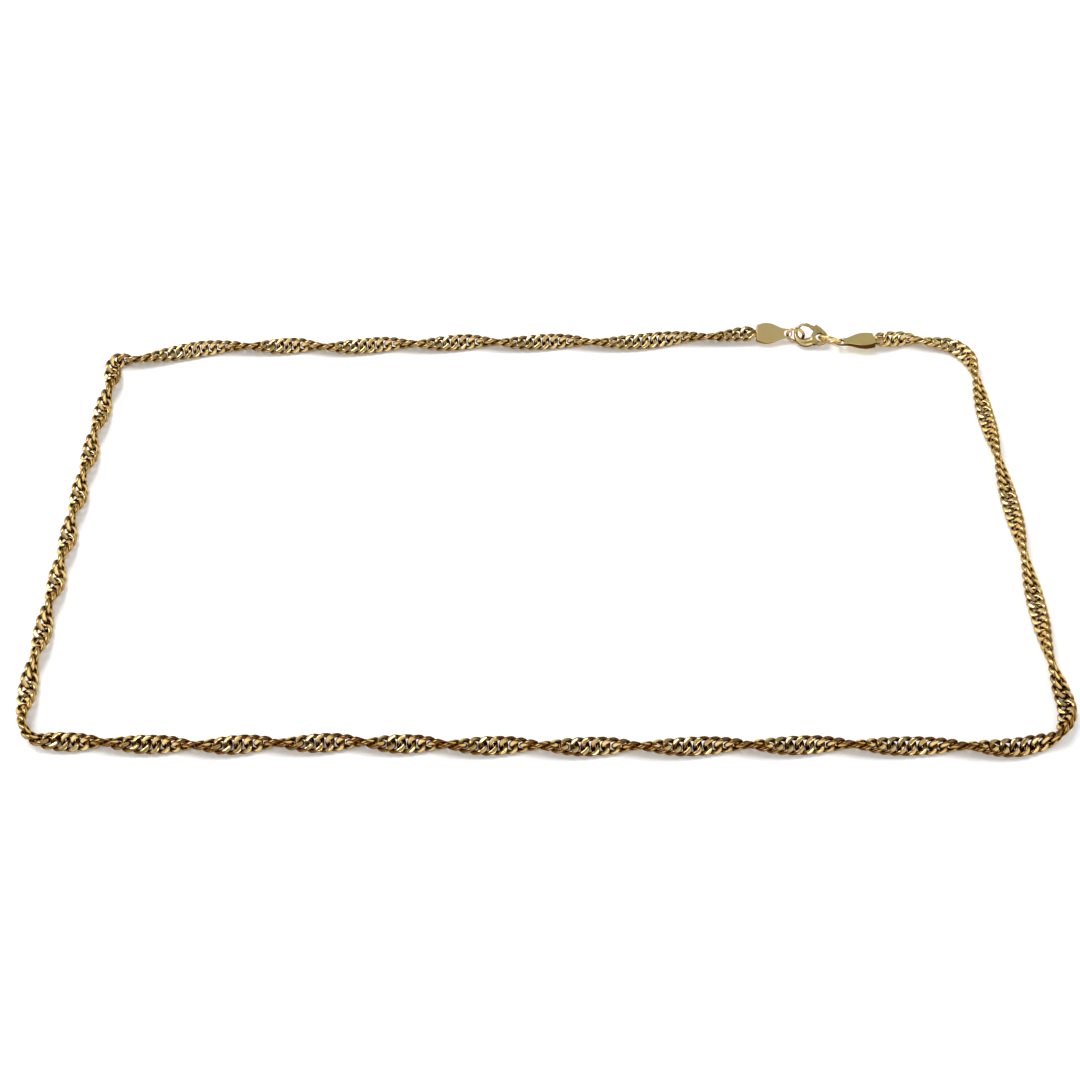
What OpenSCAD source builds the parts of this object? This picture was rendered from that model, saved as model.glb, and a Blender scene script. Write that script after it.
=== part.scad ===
// Singapore chain necklace, fastened, and laid down in a rounded rectangle.
// Millimetres, +Z up, resting on z = 0, with the middle of the loop at the origin.
// The long front run is at negative y and the clasp is at the right of the back run.

/* [Chain] */
// Width of the flat band of curb links
band_width = 3.2; // [2.8:0.1:3.4]
// Thickness of the band of curb links
band_thickness = 1.2; // [1.0:0.05:1.3]
// Distance between the cross sections of the twisted band
ring_step = 2.0; // [1.6:0.2:3.0]

/* [End tabs] */
// Greatest width of the leaf-shaped tabs
tab_width = 4.1; // [3.8:0.1:4.4]
// Thickness of the tabs where the chain is soldered in
tab_thickness = 1.3; // [1.2:0.05:1.5]
// Thickness of the tabs round the eye
eye_thickness = 0.4; // [0.36:0.02:0.42]

/* [Jump rings] */
// Wire radius of both jump rings
ring_wire = 0.3; // [0.24:0.01:0.32]

/* [Clasp] */
// Thickness of the clasp's two cheeks and the slot between them
cheek_thickness = 1.4; // [1.35:0.05:1.5]
// Radius of the wire-like gate of the lever
gate_wire = 0.33; // [0.28:0.01:0.36]
// Radius of the rivet that the lever turns on
rivet_radius = 0.3; // [0.24:0.01:0.31]

/* [Hidden] */
$fn = 48;
gold = [0.83, 0.68, 0.36];

// Shift that brings the middle of the finished box to x = 0, y = 0.
to_middle = [-0.5, -0.5, 0];

// Route of the chain from the left tab round the loop to the right tab, seen from above.
route = [
  [43.5, 47.7], [33, 47.3], [20, 46], [0, 45.8], [-20, 45.5], [-40, 44.5], [-60, 44.5],
  [-72, 43], [-80, 41], [-84, 40], [-84, 34], [-84.6, 27], [-85, 14], [-85.2, 1],
  [-85.3, -9], [-85.5, -19], [-85.7, -30], [-85.7, -38], [-85.2, -42.5], [-83.5, -45],
  [-78.5, -46], [-70, -46.3], [-56, -46.8], [-43, -46.4], [-29, -46.3], [-16, -46.7],
  [0, -46.9], [16, -47], [34, -46.8], [50, -46.7], [69, -47], [79, -46.8], [84.3, -45],
  [86.5, -41], [86.5, -35], [86, -30], [86, -20], [86, -8], [85.8, 5], [85.6, 16],
  [85.2, 27], [85.2, 36], [84.8, 40.5], [82.3, 44.5], [77, 46], [73, 46.3], [66, 45.7]
];

// Twist of the band: distance along the chain in mm, and degrees turned since it lay flat.
twist_by_distance = [
  [0.8, -30], [10.5, 45], [33.7, 225], [52.5, 405], [68.9, 585], [87.2, 765], [102, 945],
  [124.3, 1125], [135.7, 1328], [146.9, 1508], [157.2, 1688], [167.2, 1868], [177, 2048],
  [186.9, 2228], [198.1, 2408], [211, 2600], [226.6, 2820], [241.4, 3000], [254.8, 3180],
  [268.7, 3360], [281.9, 3540], [297.3, 3720], [313.4, 3900], [331.4, 4080], [347.9, 4260],
  [366.5, 4440], [381.8, 4594], [397.4, 4748], [420.2, 4928], [443.4, 5108], [464.4, 5288],
  [480.2, 5445], [489.2, 5588]
];

// Spline through the route, with the direction at each point leaning to the nearer neighbour.
last_point = len(route) - 1;
steps_between = 12;
function gap(i) = norm(route[i + 1] - route[i]);
function slope(i) = (route[i + 1] - route[i]) / gap(i);
function mixed_slope(i) = (slope(i - 1) * gap(i) + slope(i) * gap(i - 1)) / (gap(i) + gap(i - 1));
function heading(i) = i == 0 ? slope(0) : i == last_point ? slope(i - 1) : mixed_slope(i);
function between(i, u) =
  route[i] * (1 + 2 * u) * (1 - u) * (1 - u)
  + route[i + 1] * u * u * (3 - 2 * u)
  + heading(i) * gap(i) * u * (1 - u) * (1 - u)
  - heading(i + 1) * gap(i) * u * u * (1 - u);
curve = [
  for (i = [0 : last_point - 1]) for (k = [0 : steps_between - 1]) between(i, k / steps_between),
  route[last_point]
];

// The same curve with the distance travelled to each of its points.
curve_end = len(curve) - 1;
function stride(i) = i < curve_end ? norm(curve[i + 1] - curve[i]) : 0;
travelled = [for (i = 0, s = 0; i <= curve_end; s = s + stride(i), i = i + 1) s];
x_by_distance = [for (i = [0 : curve_end]) [travelled[i], curve[i].x]];
y_by_distance = [for (i = [0 : curve_end]) [travelled[i], curve[i].y]];
chain_length = travelled[curve_end];
function place(s) = [lookup(s, x_by_distance), lookup(s, y_by_distance)];
function unit(v) = v / norm(v);
function travel(s) = unit(place(s + 0.4) - place(s - 0.4));
function twist(s) = lookup(s, twist_by_distance);

// Height of the band's middle: flat parts sag between the parts that stand on edge.
tab_height = 1.95;
run_up = 8;
edge_rise = band_width / 2 + 0.05 - band_thickness;
function near_tab(s) = max(0, 1 - min(s, chain_length - s) / run_up);
function loose_height(s) = band_thickness + edge_rise * sin(twist(s)) * sin(twist(s));
function height(s) = loose_height(s) + (tab_height - loose_height(s)) * (1 - pow(1 - near_tab(s), 2));

// Cross section of the band, an eight-sided flat oval that narrows to a tongue in each tab.
tongue = 0.7;
tongue_scale = [0.5, 0.42];
section = [
  [0.5, 0.225], [0.3, 0.5], [-0.3, 0.5], [-0.5, 0.225],
  [-0.5, -0.225], [-0.3, -0.5], [0.3, -0.5], [0.5, -0.225]
];
sides = len(section);
function slimness(s) = min(s, chain_length - s) < tongue + 0.01 ? tongue_scale : [1, 1];
function corner(s, k) = [
  section[k].x * band_width * slimness(s).x,
  section[k].y * band_thickness * slimness(s).y
];
function across(s, c) = c.x * cos(twist(s)) - c.y * sin(twist(s));
function upward(s, c) = c.x * sin(twist(s)) + c.y * cos(twist(s));
function on_band(s, c) = [
  place(s).x - travel(s).y * across(s, c),
  place(s).y + travel(s).x * across(s, c),
  height(s) + upward(s, c)
];
shoulder = tongue + 0.15;
ring_count = round((chain_length - 2 * shoulder) / ring_step);
stations = [
  0, tongue,
  for (k = [0 : ring_count]) shoulder + (chain_length - 2 * shoulder) * k / ring_count,
  chain_length - tongue, chain_length
];
band_points = [for (s = stations) for (k = [0 : sides - 1]) on_band(s, corner(s, k))];
last_ring = len(stations) - 1;
band_faces = [
  for (r = [0 : last_ring - 1]) for (k = [0 : sides - 1]) each [
    [r * sides + k, r * sides + (k + 1) % sides, (r + 1) * sides + (k + 1) % sides],
    [r * sides + k, (r + 1) * sides + (k + 1) % sides, (r + 1) * sides + k]
  ],
  [for (k = [sides - 1 : -1 : 0]) k],
  [for (k = [0 : sides - 1]) last_ring * sides + k]
];

// End tabs, in their own frame: x runs from the chain to the eye, z through the plate.
tab_end = 0.95;
left_reach = 6.25;
right_reach = 6.85;
left_hole = 0.71;
right_hole = 0.77;
left_eye = [49.3, 47.6, tab_height];
right_eye = [59.6, 45.13, tab_height];
left_heading = -1;
right_heading = 185;
left_tilt = 30;
right_tilt = 8;

// Jump rings: middle of each ring, its middle radius and how its plane stands.
hook_ring_at = [50.87, 47.25, 1.92];
hook_ring_middle = 1.6;
tail_ring_at = [57.55, 45.75, 2.04];
tail_ring_middle = 2.12;
tail_ring_lean = -54;

// Clasp frame: x runs from the hook to the tail, y up the tilted clasp, z out of its face.
clasp_at = [50.6, 47.6, 2.05];
clasp_heading = -13;
clasp_tilt = 30;
hook_middle = [2.1, 0.3];
opening_rise = 0.2;
opening_half = [1.42, 1.22];
gate_radius = 1.82;
tail_eye_at = [5.08, -0.05];
tail_eye = 0.82;
tail_rim = 1.65;
tail_thickness = 0.8;
pivot = [4.5, 1.35];
cheek_radius = 0.7;
slot = 0.86;
lever_plate = 0.5;
lever_boss = 0.62;
thumb_nub = [4.1, 2.16];
closing_point = [1.54, 2.03];
closing_angle = 143;

// Hook from its tip round the left and the underside: angle, middle radius, half width, half depth.
hook_rows = [
  [104, 1.82, 0.29, 0.32], [116, 1.82, 0.3, 0.34], [150, 1.8, 0.33, 0.44], [185, 1.78, 0.38, 0.52],
  [215, 1.8, 0.46, 0.56], [245, 1.86, 0.64, 0.62], [275, 1.9, 0.88, 0.66], [305, 2, 0.9, 0.64],
  [332, 2.12, 0.82, 0.58]
];
hook_start = 104;
hook_stop = 332;
hook_steps = 38;
hook_sides = 12;
middle_by_angle = [for (row = hook_rows) [row[0], row[1]]];
width_by_angle = [for (row = hook_rows) [row[0], row[2]]];
depth_by_angle = [for (row = hook_rows) [row[0], row[3]]];
function on_hook(a, turn) = [
  (lookup(a, middle_by_angle) + lookup(a, width_by_angle) * cos(turn)) * cos(a) + hook_middle.x,
  (lookup(a, middle_by_angle) + lookup(a, width_by_angle) * cos(turn)) * sin(a) + hook_middle.y,
  lookup(a, depth_by_angle) * sin(turn)
];
hook_points = [
  for (r = [0 : hook_steps]) for (k = [0 : hook_sides - 1])
    on_hook(hook_start + (hook_stop - hook_start) * r / hook_steps, 360 * k / hook_sides)
];
hook_faces = [
  for (r = [0 : hook_steps - 1]) for (k = [0 : hook_sides - 1]) each [
    [r * hook_sides + k, r * hook_sides + (k + 1) % hook_sides, (r + 1) * hook_sides + k],
    [r * hook_sides + (k + 1) % hook_sides, (r + 1) * hook_sides + (k + 1) % hook_sides,
      (r + 1) * hook_sides + k]
  ],
  [for (k = [hook_sides - 1 : -1 : 0]) k],
  [for (k = [0 : hook_sides - 1]) hook_steps * hook_sides + k]
];

// Gives a piece its gold and its place about the middle.
module laid_down() {
  color(gold) translate(to_middle) children();
}

// Twisted band that stands for the whole run of linked curb links.
module chain() {
  laid_down() polyhedron(points = band_points, faces = band_faces, convexity = 20);
}

// Leaf outline of a tab from above, with its corners and hollows rounded. It runs past the chain's end.
module tab_outline(reach) {
  half = tab_width / 2;
  neck = reach - 0.25;
  offset(r = -2.5) offset(delta = 2.5) offset(r = 0.9) offset(delta = -0.9) {
    polygon([
        [-2, -0.8], [0, -1.5], [1.1, -1.95], [2.1, -half], [3.1, -1.92], [4.1, -1.5], [5.3, -1],
        [neck, -tab_end], [neck, tab_end], [5.3, 1], [4.1, 1.5], [3.1, 1.92], [2.1, half],
        [1.1, 1.95], [0, 1.5], [-2, 0.8]
      ]);
    translate([reach, 0]) circle(tab_end);
  }
}

// One tab: it thins toward its eye and has a socket for the chain's end.
module tab(reach, hole) {
  thick = tab_thickness / 2;
  thin = eye_thickness / 2;
  even = reach - 0.65;
  difference() {
    intersection() {
      linear_extrude(height = 2, center = true) tab_outline(reach);
      rotate([90, 0, 0]) linear_extrude(height = 6, center = true)
        polygon([[0, -thick], [even, -thin], [9, -thin], [9, thin], [even, thin], [0, thick]]);
    }
    translate([reach, 0, -2]) cylinder(r = hole, h = 4);
    translate([-1, -0.95, -0.36]) cube([1.7, 1.9, 0.72]);
  }
}

module left_tab() {
  laid_down() translate(left_eye) rotate([0, 0, left_heading]) rotate([left_tilt, 0, 0])
    translate([-left_reach, 0, 0]) tab(left_reach, left_hole);
}

module right_tab() {
  laid_down() translate(right_eye) rotate([0, 0, right_heading]) rotate([right_tilt, 0, 0])
    translate([-right_reach, 0, 0]) tab(right_reach, right_hole);
}

// Round wire ring in its own plane.
module wire_ring(middle) {
  rotate_extrude() translate([middle, 0]) circle(ring_wire);
}

module hook_ring() {
  laid_down() translate(hook_ring_at) rotate([0, 0, -10]) rotate([88, 0, 0]) wire_ring(hook_ring_middle);
}

module tail_ring() {
  laid_down() translate(tail_ring_at) rotate([0, 0, -17]) rotate([0, 3, 0]) rotate([tail_ring_lean, 0, 0])
    wire_ring(tail_ring_middle);
}

module in_clasp() {
  laid_down() translate(clasp_at) rotate([0, 0, clasp_heading]) rotate([clasp_tilt, 0, 0]) children();
}

// Outline of the two cheeks and of the bar between hook and tail eye.
module cheek_outline() {
  hull() {
    translate(pivot) circle(cheek_radius);
    translate([3.95, 0.1]) circle(0.4);
    translate([4.3, -1.2]) circle(0.5);
    translate([5.4, 0.9]) circle(0.55);
  }
}

// Eye of the tail, a flat ring with rounded edges.
module tail_ring_plate() {
  wall = tail_rim - tail_eye;
  translate(tail_eye_at) rotate_extrude() translate([tail_eye + wall / 2, 0])
    offset(r = 0.28) square([wall - 0.56, tail_thickness - 0.56], center = true);
}

// Room for the lever between the cheeks, over the whole of its swing.
module lever_slot() {
  linear_extrude(height = slot, center = true) {
    translate(pivot) circle(cheek_radius + 0.06);
    hull() {
      translate(pivot) circle(0.5);
      translate(pivot) rotate(165) translate([1.6, 0]) circle(0.5);
      translate(pivot) rotate(192) translate([1.6, 0]) circle(0.5);
    }
  }
}

module claw() {
  in_clasp() difference() {
    union() {
      polyhedron(points = hook_points, faces = hook_faces, convexity = 6);
      linear_extrude(height = cheek_thickness, center = true) cheek_outline();
      tail_ring_plate();
    }
    translate([tail_eye_at.x, tail_eye_at.y, -2]) cylinder(r = tail_eye, h = 4);
    translate([hook_middle.x, hook_middle.y + opening_rise, -2]) scale([opening_half.x, opening_half.y, 1])
      cylinder(r = 1, h = 4);
    lever_slot();
    translate([pivot.x, pivot.y, -2]) cylinder(r = rivet_radius + 0.02, h = 4);
    translate(closing_point) rotate(closing_angle) translate([-1.15, -0.8, -1]) cube([1.2, 1.6, 2]);
  }
}

// Gate of the lever, an arc of round wire that closes the hook.
module gate() {
  difference() {
    translate(hook_middle) rotate(44) rotate_extrude(angle = 68) translate([gate_radius, 0])
      circle(gate_wire, $fn = 32);
    translate(closing_point) rotate(closing_angle) translate([-0.05, -0.8, -1]) cube([1.2, 1.6, 2]);
  }
}

module claw_lever() {
  in_clasp() difference() {
    union() {
      gate();
      linear_extrude(height = lever_plate, center = true) {
        hull() {
          translate(pivot) circle(lever_boss);
          translate([3.24, 1.82]) circle(0.32);
        }
        hull() {
          translate(pivot) circle(0.45);
          translate(thumb_nub) circle(0.24);
        }
      }
      translate(thumb_nub) rotate_extrude()
        polygon([[0, -0.34], [0.16, -0.34], [0.28, -0.2], [0.28, 0.2], [0.16, 0.34], [0, 0.34]]);
    }
    translate([pivot.x, pivot.y, -2]) cylinder(r = rivet_radius + 0.06, h = 4);
  }
}

module lever_rivet() {
  in_clasp() translate([pivot.x, pivot.y, -cheek_thickness / 2 - 0.06])
    cylinder(r = rivet_radius, h = cheek_thickness + 0.12);
}

chain();
left_tab();
right_tab();
hook_ring();
tail_ring();
claw();
claw_lever();
lever_rivet();
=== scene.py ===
"""Looks of the singapore chain necklace: linked curb links along the twisted band, and gold on every piece.

All lengths are in metres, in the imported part's frame.
The chain's route, twist and heights are those of the CAD source.
"""

import math

import bpy
import numpy as np
from mathutils import Euler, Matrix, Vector

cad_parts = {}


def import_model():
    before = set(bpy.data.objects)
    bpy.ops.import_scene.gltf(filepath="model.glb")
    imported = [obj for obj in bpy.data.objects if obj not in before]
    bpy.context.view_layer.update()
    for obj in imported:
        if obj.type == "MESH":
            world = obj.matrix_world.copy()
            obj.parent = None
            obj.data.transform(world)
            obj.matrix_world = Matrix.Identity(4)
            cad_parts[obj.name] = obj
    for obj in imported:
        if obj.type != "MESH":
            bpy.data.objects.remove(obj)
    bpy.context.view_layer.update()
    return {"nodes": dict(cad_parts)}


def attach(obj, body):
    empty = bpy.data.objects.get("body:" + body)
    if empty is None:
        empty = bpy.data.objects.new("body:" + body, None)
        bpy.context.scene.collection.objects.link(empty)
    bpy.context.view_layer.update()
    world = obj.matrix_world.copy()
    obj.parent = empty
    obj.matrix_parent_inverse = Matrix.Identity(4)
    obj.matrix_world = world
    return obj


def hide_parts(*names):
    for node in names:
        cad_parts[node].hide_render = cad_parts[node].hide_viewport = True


MM = 0.001
BODY = "necklace"

# Route of the chain from the left tab round the loop to the right tab, before the shift to the middle.
ROUTE = [
    (0.0435, 0.0477), (0.033, 0.0473), (0.02, 0.046), (0.0, 0.0458), (-0.02, 0.0455),
    (-0.04, 0.0445), (-0.06, 0.0445), (-0.072, 0.043), (-0.08, 0.041), (-0.084, 0.04),
    (-0.084, 0.034), (-0.0846, 0.027), (-0.085, 0.014), (-0.0852, 0.001), (-0.0853, -0.009),
    (-0.0855, -0.019), (-0.0857, -0.03), (-0.0857, -0.038), (-0.0852, -0.0425),
    (-0.0835, -0.045), (-0.0785, -0.046), (-0.07, -0.0463), (-0.056, -0.0468),
    (-0.043, -0.0464), (-0.029, -0.0463), (-0.016, -0.0467), (0.0, -0.0469), (0.016, -0.047),
    (0.034, -0.0468), (0.05, -0.0467), (0.069, -0.047), (0.079, -0.0468), (0.0843, -0.045),
    (0.0865, -0.041), (0.0865, -0.035), (0.086, -0.03), (0.086, -0.02), (0.086, -0.008),
    (0.0858, 0.005), (0.0856, 0.016), (0.0852, 0.027), (0.0852, 0.036), (0.0848, 0.0405),
    (0.0823, 0.0445), (0.077, 0.046), (0.073, 0.0463), (0.066, 0.0457),
]
TO_MIDDLE = (-0.0005, -0.0005)

# Twist of the band: distance along the chain, and degrees turned since it lay flat.
TWIST = [
    (0.0008, -30), (0.0105, 45), (0.0337, 225), (0.0525, 405), (0.0689, 585), (0.0872, 765),
    (0.102, 945), (0.1243, 1125), (0.1357, 1328), (0.1469, 1508), (0.1572, 1688),
    (0.1672, 1868), (0.177, 2048), (0.1869, 2228), (0.1981, 2408), (0.211, 2600),
    (0.2266, 2820), (0.2414, 3000), (0.2548, 3180), (0.2687, 3360), (0.2819, 3540),
    (0.2973, 3720), (0.3134, 3900), (0.3314, 4080), (0.3479, 4260), (0.3665, 4440),
    (0.3818, 4594), (0.3974, 4748), (0.4202, 4928), (0.4434, 5108), (0.4644, 5288),
    (0.4802, 5445), (0.4892, 5588),
]

# Points of the curve for each stretch of the route, and how far either way its direction is taken.
STEPS_BETWEEN = 12
HEADING_REACH = 0.4 * MM

# What sets the height of the band's middle, as in the source: the band lies flat or stands on its edge,
# and over the last stretch it rises to the tabs.
BAND_HALF = 1.6 * MM
BAND_THICKNESS = 1.2 * MM
BAND_CLEARANCE = 0.05 * MM
TAB_HEIGHT = 1.95 * MM
RUN_UP = 8 * MM

# One curb link: half length, half width and half depth of its bent oval, how much squarer its ends are
# than an oval's, and its wire's radius.
LINK_HALF_LENGTH = 1.28 * MM
LINK_HALF_WIDTH = 1.21 * MM
LINK_BEND = 0.48 * MM
LINK_SQUARE = 0.04 * MM
LINK_WIRE = 0.385 * MM

# The flats on both faces of a link: how high they lie, and how crisply they are cut.
LINK_FLAT = 0.64 * MM
LINK_CROWN = 6

# From one link to the next, and from either end of the chain to the middle of the nearest link.
LINK_PITCH = 1.66 * MM
FIRST_LINK = 2.13 * MM

# Mesh of a link: rings along its wire, points round the wire, and degrees that count as an edge.
LINK_STEPS = 44
LINK_SIDES = 16
LINK_SHARP = 38

# No two links lie quite alike: most degrees that one is turned, and the seed of the draws.
LINK_JITTER = 2.0
LINK_SEED = 7

# Which parts of a link are left bright, free of painted shade: its flats, most on their crests, and its
# outer edge by this share.
CREST_POWER = 0.6
EDGE_FROM = 0.6
EDGE_SHARE = 0.55
BRIGHT_FROM = 0.3
BRIGHT_OVER = 0.5

# Strength of the shade painted on the links at distances along the chain: the front run gets the most.
PAINTED_SHADE_ALONG = [
    (0.0, 0.96), (0.12, 0.94), (0.14, 0.84), (0.205, 0.84), (0.228, 1.38), (0.375, 1.38),
    (0.4, 0.76), (0.465, 0.7), (0.49, 0.56),
]

# Distances along the chain at which one joined piece of links ends and the next begins.
PIECES = [
    ("chain_back", 0.0, 0.13), ("chain_left", 0.13, 0.215),
    ("chain_front", 0.215, 0.388), ("chain_right", 0.388, 0.6),
]

# Solder at the chain's ends: whether it is at the far end, its stretch, half width and half thickness.
SOLDER = {"solder_left": False, "solder_right": True}
SOLDER_FROM = 0.02 * MM
SOLDER_TO = 2.6 * MM
SOLDER_HALF_WIDTH = 0.8 * MM
SOLDER_HALF_THICKNESS = 0.24 * MM

# Form of the solder: how full it starts, how bluntly it tapers, and how square its section is.
SWELL_FROM = 0.12
SWELL_POWER = 0.4
SOLDER_SQUARE = 0.7

# Mesh of the solder, and its painted shade and tone at all points, which the gold of the links reads.
SOLDER_STATIONS = 14
SOLDER_SIDES = 16
SOLDER_PAINTED_SHADE = 0.35
SOLDER_TONE = 0.5

# End tabs, as in the source: middle of the eye, heading, tilt, length from the chain to the eye, and hole.
TABS = {
    "left": ((0.0488, 0.0471, 0.00195), -1, 30, 6.25 * MM, 0.71 * MM),
    "right": ((0.0591, 0.04463, 0.00195), 185, 8, 6.85 * MM, 0.77 * MM),
}

# Half widths of a tab in millimetres, at distances from its end at the chain.
TAB_WIDTHS = [
    (0.0, 1.42), (0.12, 1.55), (0.5, 1.72), (1.1, 1.92), (2.1, 2.05), (3.1, 1.91),
    (4.1, 1.5), (5.0, 1.13), (5.7, 0.97),
]

# Radius of a tab's round end, its half thickness at the chain and at the eye, and the rounding of its edges.
TAB_END = 0.95 * MM
TAB_HALF_THICKNESS = 0.65 * MM
EYE_HALF_THICKNESS = 0.2 * MM
TAB_EDGE = 0.08 * MM

# Fineness of a tab: steps of its edges, of each stretch of its leaf, of its round end and of its hole.
TAB_EDGE_STEPS = 3
LEAF_STEPS = 7
END_STEPS = 33
HOLE_STEPS = 48

# The clasp's own frame, as in the source, and the middles and radii of painted shade of its two openings.
CLASP_AT = Vector((0.0501, 0.0471, 0.00205))
CLASP_TURN = Euler((math.radians(30), 0, math.radians(-13))).to_matrix()
CLASP_FACE = tuple(CLASP_TURN @ Vector((0, 0, 1)))
MOUTH_MIDDLE = (2.1 * MM, 0.5 * MM)
MOUTH_RADIUS = 1.44 * MM
TAIL_EYE_MIDDLE = (5.08 * MM, -0.05 * MM)
TAIL_EYE_RADIUS = 0.82 * MM

# Each gold's colour, the darker colour that clouds and painted shade mix in, its roughness and its grain's
# scale.
# One gold: the colours differ as painted light and shade, darker on the hook ring, lighter on the right tab.
GOLDS = {
    "chain_gold": ((0.76, 0.555, 0.23), (0.1, 0.04, 0.009), 0.15, 2600.0),
    "left_tab_gold": ((0.69, 0.525, 0.24), (0.3, 0.18, 0.06), 0.34, 3000.0),
    "right_tab_gold": ((0.86, 0.69, 0.28), (0.07, 0.025, 0.005), 0.34, 3000.0),
    "hook_ring_gold": ((0.5, 0.35, 0.15), (0.3, 0.19, 0.07), 0.2, 2600.0),
    "tail_ring_gold": ((0.7, 0.49, 0.2), (0.5, 0.33, 0.12), 0.2, 2600.0),
    "claw_gold": ((0.6, 0.475, 0.195), (0.07, 0.026, 0.006), 0.31, 2600.0),
    "lever_gold": ((0.58, 0.455, 0.19), (0.12, 0.06, 0.018), 0.29, 2600.0),
}

# Sockets of the Mix node that take and give colours.
MIX_LOW = 6
MIX_HIGH = 7
MIX_RESULT = 2

# Colour that gold keeps where light grazes it.
GRAZING_TINT = (0.8, 0.6, 0.32, 1.0)

# Unevenness of the gold: its soft clouds and fine grain, and how much they change its gloss.
NOISE_MEAN = 0.5
CLOUD_SCALE = 260.0
CLOUD_DETAIL = 3.0
CLOUD_GLOSS = 0.12
GRAIN_DETAIL = 2.0
GRAIN_GLOSS = 0.08
GRAIN_STRENGTH = 0.25
GRAIN_DEPTH = 0.03 * MM

# How strongly the clouds darken the gold, and what is taken off, so that only the thicker ones do.
CLOUD_SPREAD = 0.5
CLOUD_LEAST = 0.1

# How far the shade painted on the links, the difference between links, and clouds darken the chain.
PAINTED_SHADE_SHARE = 0.9
TONE_SHARE = 0.12
CLOUD_SHARE = 0.3

# Painted shade on the sides of plates and the clasp: the turn from the face where it starts, how fast, how
# much.
SIDE_FROM = 0.8
SIDE_RATE = 3.0
SIDE_SHADE = 0.9

# Painted shade on the clasp's opening walls: the same turn and rate, how far it reaches and how fast it
# fades.
WALL_FROM = 0.86
WALL_RATE = 4.0
WALL_BEYOND = 0.24 * MM
WALL_FADE = 9000.0

# Gold of each small solid of the source.
FINISHES = {
    "hook_ring": "hook_ring_gold", "tail_ring": "tail_ring_gold", "claw": "claw_gold",
    "claw_lever": "lever_gold", "lever_rivet": "lever_gold",
}

# Edge rounding of the clasp's pieces, the angles that count as an edge there, and the welding distance.
ROUNDING = {"claw": 0.08 * MM, "claw_lever": 0.06 * MM, "lever_rivet": 0.05 * MM}
ROUNDING_STEPS = 2
SMOOTH_TO = 44
BEVEL_FROM = 40
WELD = 0.002 * MM
WEIGHT_BY_AREA = 100

# Camera: where it stands, its tilt from straight down and its lens.
CAMERA_AT = (-0.000826, -0.171789, 0.214874)
CAMERA_TILT = 38
CAMERA_LENS = 50.29
CAMERA_SENSOR = 36.0
CAMERA_NEAREST = 0.01

# Soft lights toward the middle: where each stands, its width and height, and its power.
LIGHTS = {
    "key": ((-0.28, 0.18, 0.8), (0.5, 0.4), 4.6),
    "front": ((0.25, -0.8, 0.35), (0.5, 0.1), 1.6),
    "side": ((-0.8, 0.1, 0.4), (0.12, 0.6), 1.6),
}

# Brightness of the room: everywhere, more toward the left and right, and more along the horizon.
ROOM_LIGHT = 0.2
SIDE_LIGHT = 1.3
HORIZON_LIGHT = 0.8
HORIZON_FALL = 4.0

# The surface that the necklace lies on.
FLOOR_REACH = 3.0
FLOOR_COLOUR = (0.93, 0.93, 0.93)
FLOOR_ROUGHNESS = 0.9


def in_clasp(x, y):
    """A point on the middle plane of the clasp, from the clasp's own x and y."""
    return tuple(CLASP_AT + CLASP_TURN @ Vector((x, y, 0)))


def ease(u, start, stop, leave, arrive, gap):
    """A smooth step from start to stop over u from 0 to 1, with the slopes at both ends."""
    level = start * (1 + 2 * u) * (1 - u) ** 2 + stop * u * u * (3 - 2 * u)
    return level + gap * (leave * u * (1 - u) ** 2 - arrive * u * u * (1 - u))


def spline():
    """Distances and points of the smooth curve through the route."""
    points = np.array(ROUTE)
    steps = np.diff(points, axis=0)
    gaps = np.linalg.norm(steps, axis=1)
    slopes = steps / gaps[:, None]
    mixed = slopes[:-1] * gaps[1:, None] + slopes[1:] * gaps[:-1, None]
    mixed /= (gaps[:-1] + gaps[1:])[:, None]
    headings = np.vstack([slopes[0], mixed, slopes[-1]])
    curve = [
        ease(k / STEPS_BETWEEN, points[i], points[i + 1], headings[i], headings[i + 1], gap)
        for i, gap in enumerate(gaps)
        for k in range(STEPS_BETWEEN)
    ]
    curve = np.array([*curve, points[-1]])
    travelled = np.cumsum(np.linalg.norm(np.diff(curve, axis=0), axis=1))
    return np.concatenate([[0.0], travelled]), curve + np.array(TO_MIDDLE)


TRAVELLED, CURVE = spline()
CHAIN_LENGTH = float(TRAVELLED[-1])


def read_off(table, s):
    """Value of a table of rows, each a distance along the chain and a number, at distance s."""
    return np.interp(s, [row[0] for row in table], [row[1] for row in table])


def place(s):
    """Point of the route on the surface at distance s."""
    x = np.interp(s, TRAVELLED, CURVE[:, 0])
    y = np.interp(s, TRAVELLED, CURVE[:, 1])
    return np.stack([x, y], axis=-1)


def travel(s):
    """Unit direction of the route at distance s, seen from above."""
    d = place(s + HEADING_REACH) - place(s - HEADING_REACH)
    return d / np.linalg.norm(d, axis=-1, keepdims=True)


def twist(s):
    """Angle of the band's width from the surface at distance s, in radians."""
    return np.radians(read_off(TWIST, s))


def height(s):
    """Height of the band's middle at distance s."""
    rise = BAND_HALF + BAND_CLEARANCE - BAND_THICKNESS
    loose = BAND_THICKNESS + rise * np.sin(twist(s)) ** 2
    near_tab = np.clip(1 - np.minimum(s, CHAIN_LENGTH - s) / RUN_UP, 0, 1)
    return loose + (TAB_HEIGHT - loose) * (1 - (1 - near_tab) ** 2)


def on_band(s, across, outward):
    """Points at distance s along the chain, across its width and out of its face."""
    t, p, a = travel(s), place(s), twist(s)
    side = across * np.cos(a) - outward * np.sin(a)
    up = across * np.sin(a) + outward * np.cos(a)
    return np.stack([p[..., 0] - t[..., 1] * side, p[..., 1] + t[..., 0] * side, height(s) + up], axis=-1)


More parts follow.
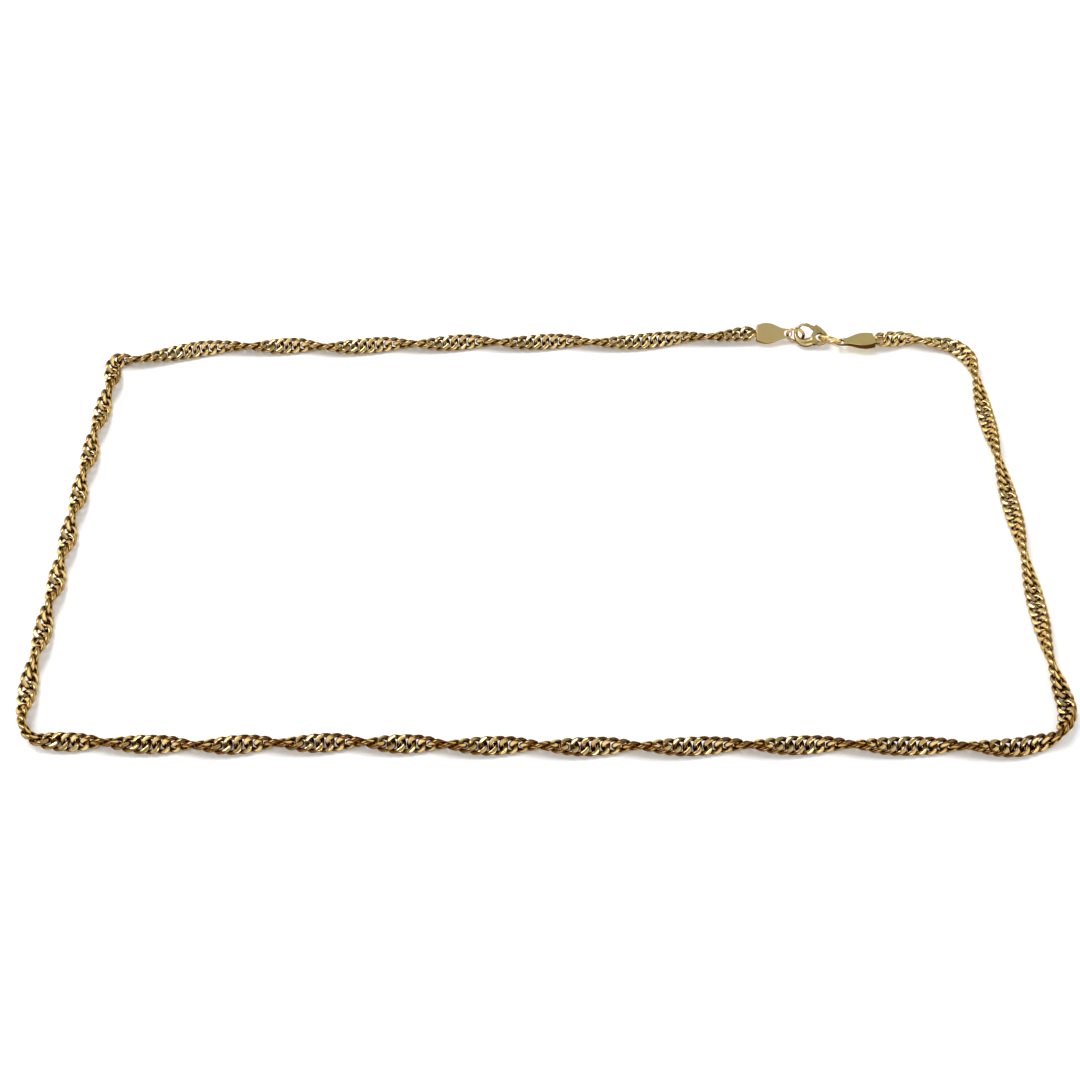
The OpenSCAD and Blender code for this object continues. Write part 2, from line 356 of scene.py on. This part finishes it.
def link_shape():
    """One closed curb link in its own frame: x along the chain, y across the band, z out of its face.

    Also gives, for each point, the painted shade on it from 0 to 1: most on the wire's sides and in the
    recesses.
    """
    t = np.linspace(0, 2 * math.pi, LINK_STEPS, endpoint=False)
    x = LINK_HALF_LENGTH * np.cos(t) - LINK_SQUARE * np.cos(3 * t)
    middle = np.stack([x, LINK_HALF_WIDTH * np.sin(t), -LINK_BEND * np.sin(2 * t)], axis=-1)
    x_slope = 3 * LINK_SQUARE * np.sin(3 * t) - LINK_HALF_LENGTH * np.sin(t)
    along = np.stack([x_slope, LINK_HALF_WIDTH * np.cos(t), -2 * LINK_BEND * np.cos(2 * t)], axis=-1)
    along /= np.linalg.norm(along, axis=-1, keepdims=True)
    out = np.cross(along, np.array([0.0, 0.0, 1.0]))
    out /= np.linalg.norm(out, axis=-1, keepdims=True)
    face = np.cross(out, along)
    turn = np.linspace(0, 2 * math.pi, LINK_SIDES, endpoint=False)
    ring = np.cos(turn)[:, None] * out[:, None, :] + np.sin(turn)[:, None] * face[:, None, :]
    points = middle[:, None, :] + LINK_WIRE * ring
    rise = np.abs(points[..., 2]) / LINK_FLAT
    points[..., 2] /= (1 + rise**LINK_CROWN) ** (1 / LINK_CROWN)
    high = np.abs(middle[:, 2:3]) / LINK_BEND
    wide = np.clip((np.abs(middle[:, 1:2]) / LINK_HALF_WIDTH - EDGE_FROM) / (1 - EDGE_FROM), 0, 1)
    face_on = ring[..., 2] * np.sign(middle[:, 2:3]) * high**CREST_POWER
    edge_on = ring[..., 1] * np.sign(middle[:, 1:2]) * wide
    bright = np.clip((np.maximum(face_on, EDGE_SHARE * edge_on) - BRIGHT_FROM) / BRIGHT_OVER, 0, 1)
    return points.reshape(-1, 3), 1 - bright.reshape(-1)


def ring_faces(steps, sides):
    """Quads of a closed tube whose rings and sides both run round, facing outward."""
    faces = []
    for r in range(steps):
        for k in range(sides):
            a, b = r * sides + k, r * sides + (k + 1) % sides
            c, d = ((r + 1) % steps) * sides + (k + 1) % sides, ((r + 1) % steps) * sides + k
            faces.append((a, d, c, b))
    return np.array(faces)


def small_turn(rng):
    """A small random rotation, so that no two links catch the light alike."""
    x, y, z = np.radians(rng.uniform(-LINK_JITTER, LINK_JITTER, 3))
    rx = np.array([[1, 0, 0], [0, math.cos(x), -math.sin(x)], [0, math.sin(x), math.cos(x)]])
    ry = np.array([[math.cos(y), 0, math.sin(y)], [0, 1, 0], [-math.sin(y), 0, math.cos(y)]])
    rz = np.array([[math.cos(z), -math.sin(z), 0], [math.sin(z), math.cos(z), 0], [0, 0, 1]])
    return rx @ ry @ rz


def put_in_scene(name, data):
    """An object in the scene that holds the data."""
    obj = bpy.data.objects.new(name, data)
    bpy.context.scene.collection.objects.link(obj)
    return obj


def mesh_object(name, points, faces, smooth=True):
    """A mesh object from an array of points and a list of faces."""
    mesh = bpy.data.meshes.new(name)
    mesh.from_pydata(points.tolist(), [], faces)
    for polygon in mesh.polygons:
        polygon.use_smooth = smooth
    return put_in_scene(name, mesh)


def give_values(obj, name, values):
    """A number for each point of a mesh, which its material reads by name."""
    attribute = obj.data.attributes.new(name, "FLOAT", "POINT")
    attribute.data.foreach_set("value", values.astype(np.float32))


def build_chain():
    """All links of the chain, joined into four pieces."""
    rng = np.random.default_rng(LINK_SEED)
    first, last = FIRST_LINK, CHAIN_LENGTH - FIRST_LINK
    centres = np.linspace(first, last, round((last - first) / LINK_PITCH) + 1)
    shape, painted_shade_on_link = link_shape()
    faces = ring_faces(LINK_STEPS, LINK_SIDES)
    objects = []
    for name, start, stop in PIECES:
        points, quads, painted_shade_rows, tone = [], [], [], []
        for s in centres[(centres >= start) & (centres < stop)]:
            turned = shape @ small_turn(rng).T
            quads.append(faces + len(points) * len(shape))
            points.append(on_band(s + turned[:, 0], turned[:, 1], turned[:, 2]))
            # Shade painted on the link, strongest along the front run.
            painted_shade_rows.append(painted_shade_on_link * read_off(PAINTED_SHADE_ALONG, s))
            tone.append(np.full(len(shape), rng.uniform(0, 1)))
        obj = mesh_object(name, np.vstack(points), np.vstack(quads).tolist())
        obj.data.set_sharp_from_angle(angle=math.radians(LINK_SHARP))
        give_values(obj, "painted_shade", np.concatenate(painted_shade_rows))
        give_values(obj, "tone", np.concatenate(tone))
        objects.append(obj)
    return objects


def build_solder():
    """The two soldered ends, where the chain's last links run into the tabs' sockets."""
    stations = np.linspace(SOLDER_FROM, SOLDER_TO, SOLDER_STATIONS)
    turn = np.linspace(0, 2 * math.pi, SOLDER_SIDES, endpoint=False)
    last_ring = (SOLDER_STATIONS - 1) * SOLDER_SIDES
    tube = ring_faces(SOLDER_STATIONS, SOLDER_SIDES)[:last_ring].tolist()
    near_cap = list(range(SOLDER_SIDES))
    far_cap = [last_ring + k for k in reversed(near_cap)]
    objects = []
    for name, from_end in SOLDER.items():
        rings = []
        for k, s in enumerate(stations):
            grown = SWELL_FROM + (1 - SWELL_FROM) * k / SOLDER_STATIONS
            swell = math.sin(math.pi * grown) ** SWELL_POWER
            square = np.sign(np.cos(turn)) * np.abs(np.cos(turn)) ** SOLDER_SQUARE
            across = SOLDER_HALF_WIDTH * swell * square
            outward = SOLDER_HALF_THICKNESS * swell * np.sin(turn)
            at = CHAIN_LENGTH - s if from_end else s
            rings.append(on_band(np.full(SOLDER_SIDES, at), across, outward))
        faces = [*tube, near_cap, far_cap]
        if not from_end:
            faces = [face[::-1] for face in faces]
        obj = mesh_object(name, np.vstack(rings), faces)
        # A flat share of painted shade over all the solder, as on the links.
        give_values(obj, "painted_shade", np.full(len(obj.data.vertices), SOLDER_PAINTED_SHADE))
        give_values(obj, "tone", np.full(len(obj.data.vertices), SOLDER_TONE))
        objects.append(obj)
    return objects


def leaf_outline(reach):
    """Closed outline of a tab from above: its leaf, and the round end at the eye."""
    rows = np.array([*[(x * MM, w * MM) for x, w in TAB_WIDTHS], (reach, TAB_END)])
    slopes = np.gradient(rows[:, 1], rows[:, 0])
    slopes[-1] = 0.0
    side = [
        (x0 + (x1 - x0) * u, ease(u, w0, w1, m0, m1, x1 - x0))
        for (x0, w0), (x1, w1), m0, m1 in zip(rows, rows[1:], slopes, slopes[1:])
        for u in np.linspace(0, 1, LEAF_STEPS, endpoint=False)
    ]
    turns = np.linspace(0, math.pi, END_STEPS)
    end = [(reach + TAB_END * math.sin(turn), TAB_END * math.cos(turn)) for turn in turns]
    return [*side, *end, *[(x, -w) for x, w in reversed(side)]]


def tab_turn(side):
    """How a tab lies: tilted about its length, then headed from the chain to the eye."""
    _, heading, tilt, _, _ = TABS[side]
    tilted = Euler((math.radians(tilt), 0, 0)).to_matrix()
    return Euler((0, 0, math.radians(heading))).to_matrix() @ tilted


def build_tab(side):
    """One leaf-shaped tab with rounded edges, which thins toward its eye."""
    eye, _, _, reach, hole = TABS[side]
    sheet = bpy.data.curves.new(f"{side}_leaf", "CURVE")
    sheet.dimensions = "2D"
    sheet.fill_mode = "BOTH"
    sheet.extrude = TAB_HALF_THICKNESS - TAB_EDGE
    sheet.bevel_depth = TAB_EDGE
    sheet.bevel_resolution = TAB_EDGE_STEPS
    sheet.offset = -TAB_EDGE
    turns = np.linspace(0, 2 * math.pi, HOLE_STEPS + 1)[:-1]
    ring = [(reach + hole * math.cos(turn), hole * math.sin(turn)) for turn in turns]
    for line in (leaf_outline(reach), ring):
        drawn = sheet.splines.new("POLY")
        drawn.points.add(len(line) - 1)
        drawn.use_cyclic_u = True
        drawn.points.foreach_set("co", [c for x, y in line for c in (x, y, 0.0, 1.0)])
    blank = put_in_scene(f"{side}_blank", sheet)
    ready = blank.evaluated_get(bpy.context.evaluated_depsgraph_get())
    mesh = bpy.data.meshes.new_from_object(ready)
    mesh.name = f"{side}_tab_plate"
    bpy.data.objects.remove(blank)
    turned = tab_turn(side)
    for vertex in mesh.vertices:
        x, y, z = vertex.co
        half = TAB_HALF_THICKNESS + (EYE_HALF_THICKNESS - TAB_HALF_THICKNESS) * x / reach
        vertex.co = Vector(eye) + turned @ Vector((x - reach, y, z * half / TAB_HALF_THICKNESS))
    obj = put_in_scene(mesh.name, mesh)
    shading = obj.modifiers.new("shading", "WEIGHTED_NORMAL")
    shading.weight = WEIGHT_BY_AREA
    return obj


class Value:
    """A node socket or a plain number, so that node maths can be written as arithmetic."""

    def __init__(self, tree, source):
        self.tree = tree
        self.source = source

    def plug(self, made, inputs):
        """Each named socket of a node gets its value or its link."""
        for key, value in inputs.items():
            source = value.source if isinstance(value, Value) else value
            if isinstance(source, bpy.types.NodeSocket):
                self.tree.links.new(source, made.inputs[key])
            else:
                made.inputs[key].default_value = source

    def node(self, kind, settings, inputs, output=0):
        """The output of a new node, made from its type, its settings and what its sockets take."""
        made = self.tree.nodes.new(kind)
        for key, value in settings.items():
            setattr(made, key, value)
        self.plug(made, inputs)
        return Value(self.tree, made.outputs[output])

    def maths(self, operation, *others):
        """The result of a Math node on this value and others."""
        return self.node("ShaderNodeMath", {"operation": operation}, dict(enumerate([self, *others])))

    def vector(self, operation, output, *others):
        """The result of a Vector Math node on this vector and others."""
        inputs = dict(enumerate([self, *others]))
        return self.node("ShaderNodeVectorMath", {"operation": operation}, inputs, output)

    def __add__(self, other):
        return self.maths("ADD", other)

    __radd__ = __add__

    def __sub__(self, other):
        return self.maths("SUBTRACT", other)

    def __rsub__(self, other):
        return Value(self.tree, other).maths("SUBTRACT", self)

    def __mul__(self, other):
        return self.maths("MULTIPLY", other)

    __rmul__ = __mul__

    def __pow__(self, other):
        return self.maths("POWER", other)

    def __rpow__(self, other):
        return Value(self.tree, other).maths("POWER", self)

    def __abs__(self):
        return self.maths("ABSOLUTE")

    def clamp(self):
        """This value held between 0 and 1."""
        return self.node("ShaderNodeClamp", {}, {"Value": self})

    def mix(self, low, high):
        """The colour low where this value is 0 and high where it is 1."""
        inputs = {"Factor": self, MIX_LOW: low, MIX_HIGH: high}
        return self.node("ShaderNodeMix", {"data_type": "RGBA"}, inputs, output=MIX_RESULT)


def link_shade(start, clouds):
    """How dark the chain is: by the shade painted on each link, by its own tone and by the clouds."""
    painted_shade = start.node("ShaderNodeAttribute", {"attribute_name": "painted_shade"}, {}, output="Fac")
    tone = start.node("ShaderNodeAttribute", {"attribute_name": "tone"}, {}, output="Fac")
    return (painted_shade * PAINTED_SHADE_SHARE + tone * TONE_SHARE + clouds * CLOUD_SHARE).clamp()


def side_shade(normal, face):
    """Painted shade on the narrow sides of a flat piece, and 0 where it faces the way that its flat sides
    do.
    """
    turned = SIDE_FROM - abs(normal.vector("DOT_PRODUCT", "Value", face))
    return (turned * SIDE_RATE).clamp() * SIDE_SHADE


def opening_shade(where, normal, middle, radius):
    """Painted shade on the wall of one of the clasp's openings, and 0 away from it and on the clasp's faces.
    """
    turned = WALL_FROM - abs(normal.vector("DOT_PRODUCT", "Value", CLASP_FACE))
    spoke = where.vector("SUBTRACT", "Vector", middle).vector("CROSS_PRODUCT", "Vector", CLASP_FACE)
    inward = radius + WALL_BEYOND - spoke.vector("LENGTH", "Value")
    return (inward * WALL_FADE).clamp() * (turned * WALL_RATE).clamp()


def gold(name, with_painted_link_shade=False, face=None, openings=()):
    """Polished gold: slightly uneven in tone and gloss, with painted shade in its recesses and on its sides.

    The flag is for the links, which bring their own values of painted shade. face is the way that a flat
    piece looks, so that shade is painted on its narrow sides. openings are the clasp's, each a middle and a
    radius, with shade painted on their walls.
    """
    colour, cloud_and_painted_shade_colour, roughness, grain = GOLDS[name]
    material = bpy.data.materials.new(name)
    material.use_nodes = True
    start = Value(material.node_tree, 0.0)
    where = start.node("ShaderNodeTexCoord", {}, {}, output="Object")
    normal = start.node("ShaderNodeNewGeometry", {}, {}, output="Normal")
    soft = {"Vector": where, "Scale": CLOUD_SCALE, "Detail": CLOUD_DETAIL}
    cloud = start.node("ShaderNodeTexNoise", {}, soft)
    sharp = {"Vector": where, "Scale": grain, "Detail": GRAIN_DETAIL}
    fine = start.node("ShaderNodeTexNoise", {}, sharp)
    shade = (cloud * CLOUD_SPREAD - CLOUD_LEAST).clamp()
    if with_painted_link_shade:
        shade = link_shade(start, shade)
    if face:
        shade = (shade + side_shade(normal, face)).clamp()
    for middle, radius in openings:
        shade = (shade + opening_shade(where, normal, middle, radius)).clamp()
    relief = {"Strength": GRAIN_STRENGTH, "Distance": GRAIN_DEPTH, "Height": fine}
    gloss = roughness + (cloud - NOISE_MEAN) * CLOUD_GLOSS + (fine - NOISE_MEAN) * GRAIN_GLOSS
    start.plug(material.node_tree.nodes["Principled BSDF"], {
        "Base Color": shade.mix((*colour, 1.0), (*cloud_and_painted_shade_colour, 1.0)),
        "Metallic": 1.0,
        "Specular Tint": GRAZING_TINT,
        "Roughness": gloss.clamp(),
        "Normal": start.node("ShaderNodeBump", {}, relief, output="Normal"),
    })
    return material


def make_golds():
    """The gold of each piece, by name."""
    tab_faces = {side: tuple(tab_turn(side) @ Vector((0, 0, 1))) for side in TABS}
    openings = [(in_clasp(*MOUTH_MIDDLE), MOUTH_RADIUS), (in_clasp(*TAIL_EYE_MIDDLE), TAIL_EYE_RADIUS)]
    return {
        "chain_gold": gold("chain_gold", with_painted_link_shade=True),
        "left_tab_gold": gold("left_tab_gold", face=tab_faces["left"]),
        "right_tab_gold": gold("right_tab_gold", face=tab_faces["right"]),
        "hook_ring_gold": gold("hook_ring_gold"),
        "tail_ring_gold": gold("tail_ring_gold"),
        "claw_gold": gold("claw_gold", face=CLASP_FACE, openings=openings),
        "lever_gold": gold("lever_gold", face=CLASP_FACE),
    }


def smooth_to(angle):
    """Node group that shades a mesh smoothly except over edges sharper than the angle in degrees."""
    group = bpy.data.node_groups.new(f"smooth_to_{angle}", "GeometryNodeTree")
    group.interface.new_socket("Geometry", in_out="INPUT", socket_type="NodeSocketGeometry")
    group.interface.new_socket("Geometry", in_out="OUTPUT", socket_type="NodeSocketGeometry")
    shape = Value(group, 0.0).node("NodeGroupInput", {}, {})
    sharp = shape.node("GeometryNodeInputMeshEdgeAngle", {}, {}, output="Unsigned Angle")
    sharp = sharp.maths("GREATER_THAN", math.radians(angle))
    for domain, chosen in (("FACE", {}), ("EDGE", {}), ("EDGE", {"Selection": sharp})):
        inputs = {"Geometry": shape, "Shade Smooth": not chosen, **chosen}
        shape = shape.node("GeometryNodeSetShadeSmooth", {"domain": domain}, inputs)
    shape.plug(group.nodes.new("NodeGroupOutput"), {0: shape})
    return group


def soften(obj, width, smooth):
    """Rounds a solid's sharp edges a little and shades its curves smoothly."""
    weld = obj.modifiers.new("weld", "WELD")
    weld.merge_threshold = WELD
    curves = obj.modifiers.new("curves", "NODES")
    curves.node_group = smooth
    bevel = obj.modifiers.new("bevel", "BEVEL")
    bevel.width = width
    bevel.segments = ROUNDING_STEPS
    bevel.limit_method = "ANGLE"
    bevel.angle_limit = math.radians(BEVEL_FROM)
    shading = obj.modifiers.new("shading", "WEIGHTED_NORMAL")
    shading.weight = WEIGHT_BY_AREA
    shading.keep_sharp = True


def build_floor():
    """The plain pale surface that the necklace lies on."""
    corners = FLOOR_REACH * np.array([(-1, -1, 0), (1, -1, 0), (1, 1, 0), (-1, 1, 0)])
    floor = mesh_object("floor", corners, [(0, 1, 2, 3)], smooth=False)
    paper = bpy.data.materials.new("paper")
    paper.use_nodes = True
    finish = {"Base Color": (*FLOOR_COLOUR, 1.0), "Roughness": FLOOR_ROUGHNESS}
    Value(paper.node_tree, 0.0).plug(paper.node_tree.nodes["Principled BSDF"], finish)
    floor.data.materials.append(paper)


def build_light():
    """A pale room, brighter at the sides and the horizon, and three soft square lights."""
    room = bpy.data.worlds.new("studio")
    room.use_nodes = True
    start = Value(room.node_tree, 0.0)
    toward = start.node("ShaderNodeTexCoord", {}, {}, output="Generated")
    sideways = abs(start.node("ShaderNodeSeparateXYZ", {}, {"Vector": toward}, output="X"))
    upward = abs(start.node("ShaderNodeSeparateXYZ", {}, {"Vector": toward}, output="Z"))
    brightness = sideways * SIDE_LIGHT + (1 - upward) ** HORIZON_FALL * HORIZON_LIGHT + ROOM_LIGHT
    start.plug(room.node_tree.nodes["Background"], {"Color": (1.0, 1.0, 1.0, 1.0), "Strength": brightness})
    bpy.context.scene.world = room
    bpy.context.scene.view_settings.view_transform = "Standard"
    for name, (stands, size, power) in LIGHTS.items():
        lamp = bpy.data.lights.new(name, "AREA")
        lamp.shape = "RECTANGLE"
        lamp.size, lamp.size_y = size
        lamp.energy = power
        obj = put_in_scene(name, lamp)
        obj.location = stands
        obj.rotation_euler = (-Vector(stands)).to_track_quat("-Z", "Y").to_euler()


def build_camera():
    """The camera of the photo."""
    camera = put_in_scene("camera", bpy.data.cameras.new("camera"))
    camera.location = CAMERA_AT
    camera.rotation_euler = (math.radians(CAMERA_TILT), 0, 0)
    camera.data.sensor_width = CAMERA_SENSOR
    camera.data.lens = CAMERA_LENS
    camera.data.clip_start = CAMERA_NEAREST
    bpy.context.scene.camera = camera


def main():
    """The whole necklace with its looks, and the stage round it."""
    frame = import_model()
    golds = make_golds()
    for obj in build_chain() + build_solder():
        obj.data.materials.append(golds["chain_gold"])
        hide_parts("chain")
        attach(obj, BODY)
    for side in TABS:
        tab = build_tab(side)
        tab.data.materials.clear()
        tab.data.materials.append(golds[f"{side}_tab_gold"])
        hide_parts(f"{side}_tab")
        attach(tab, BODY)
    smooth = smooth_to(SMOOTH_TO)
    for node, finish in FINISHES.items():
        obj = frame["nodes"][node]
        obj.data.materials.clear()
        obj.data.materials.append(golds[finish])
        if node in ROUNDING:
            soften(obj, ROUNDING[node], smooth)
    build_floor()
    build_light()
    build_camera()


main()
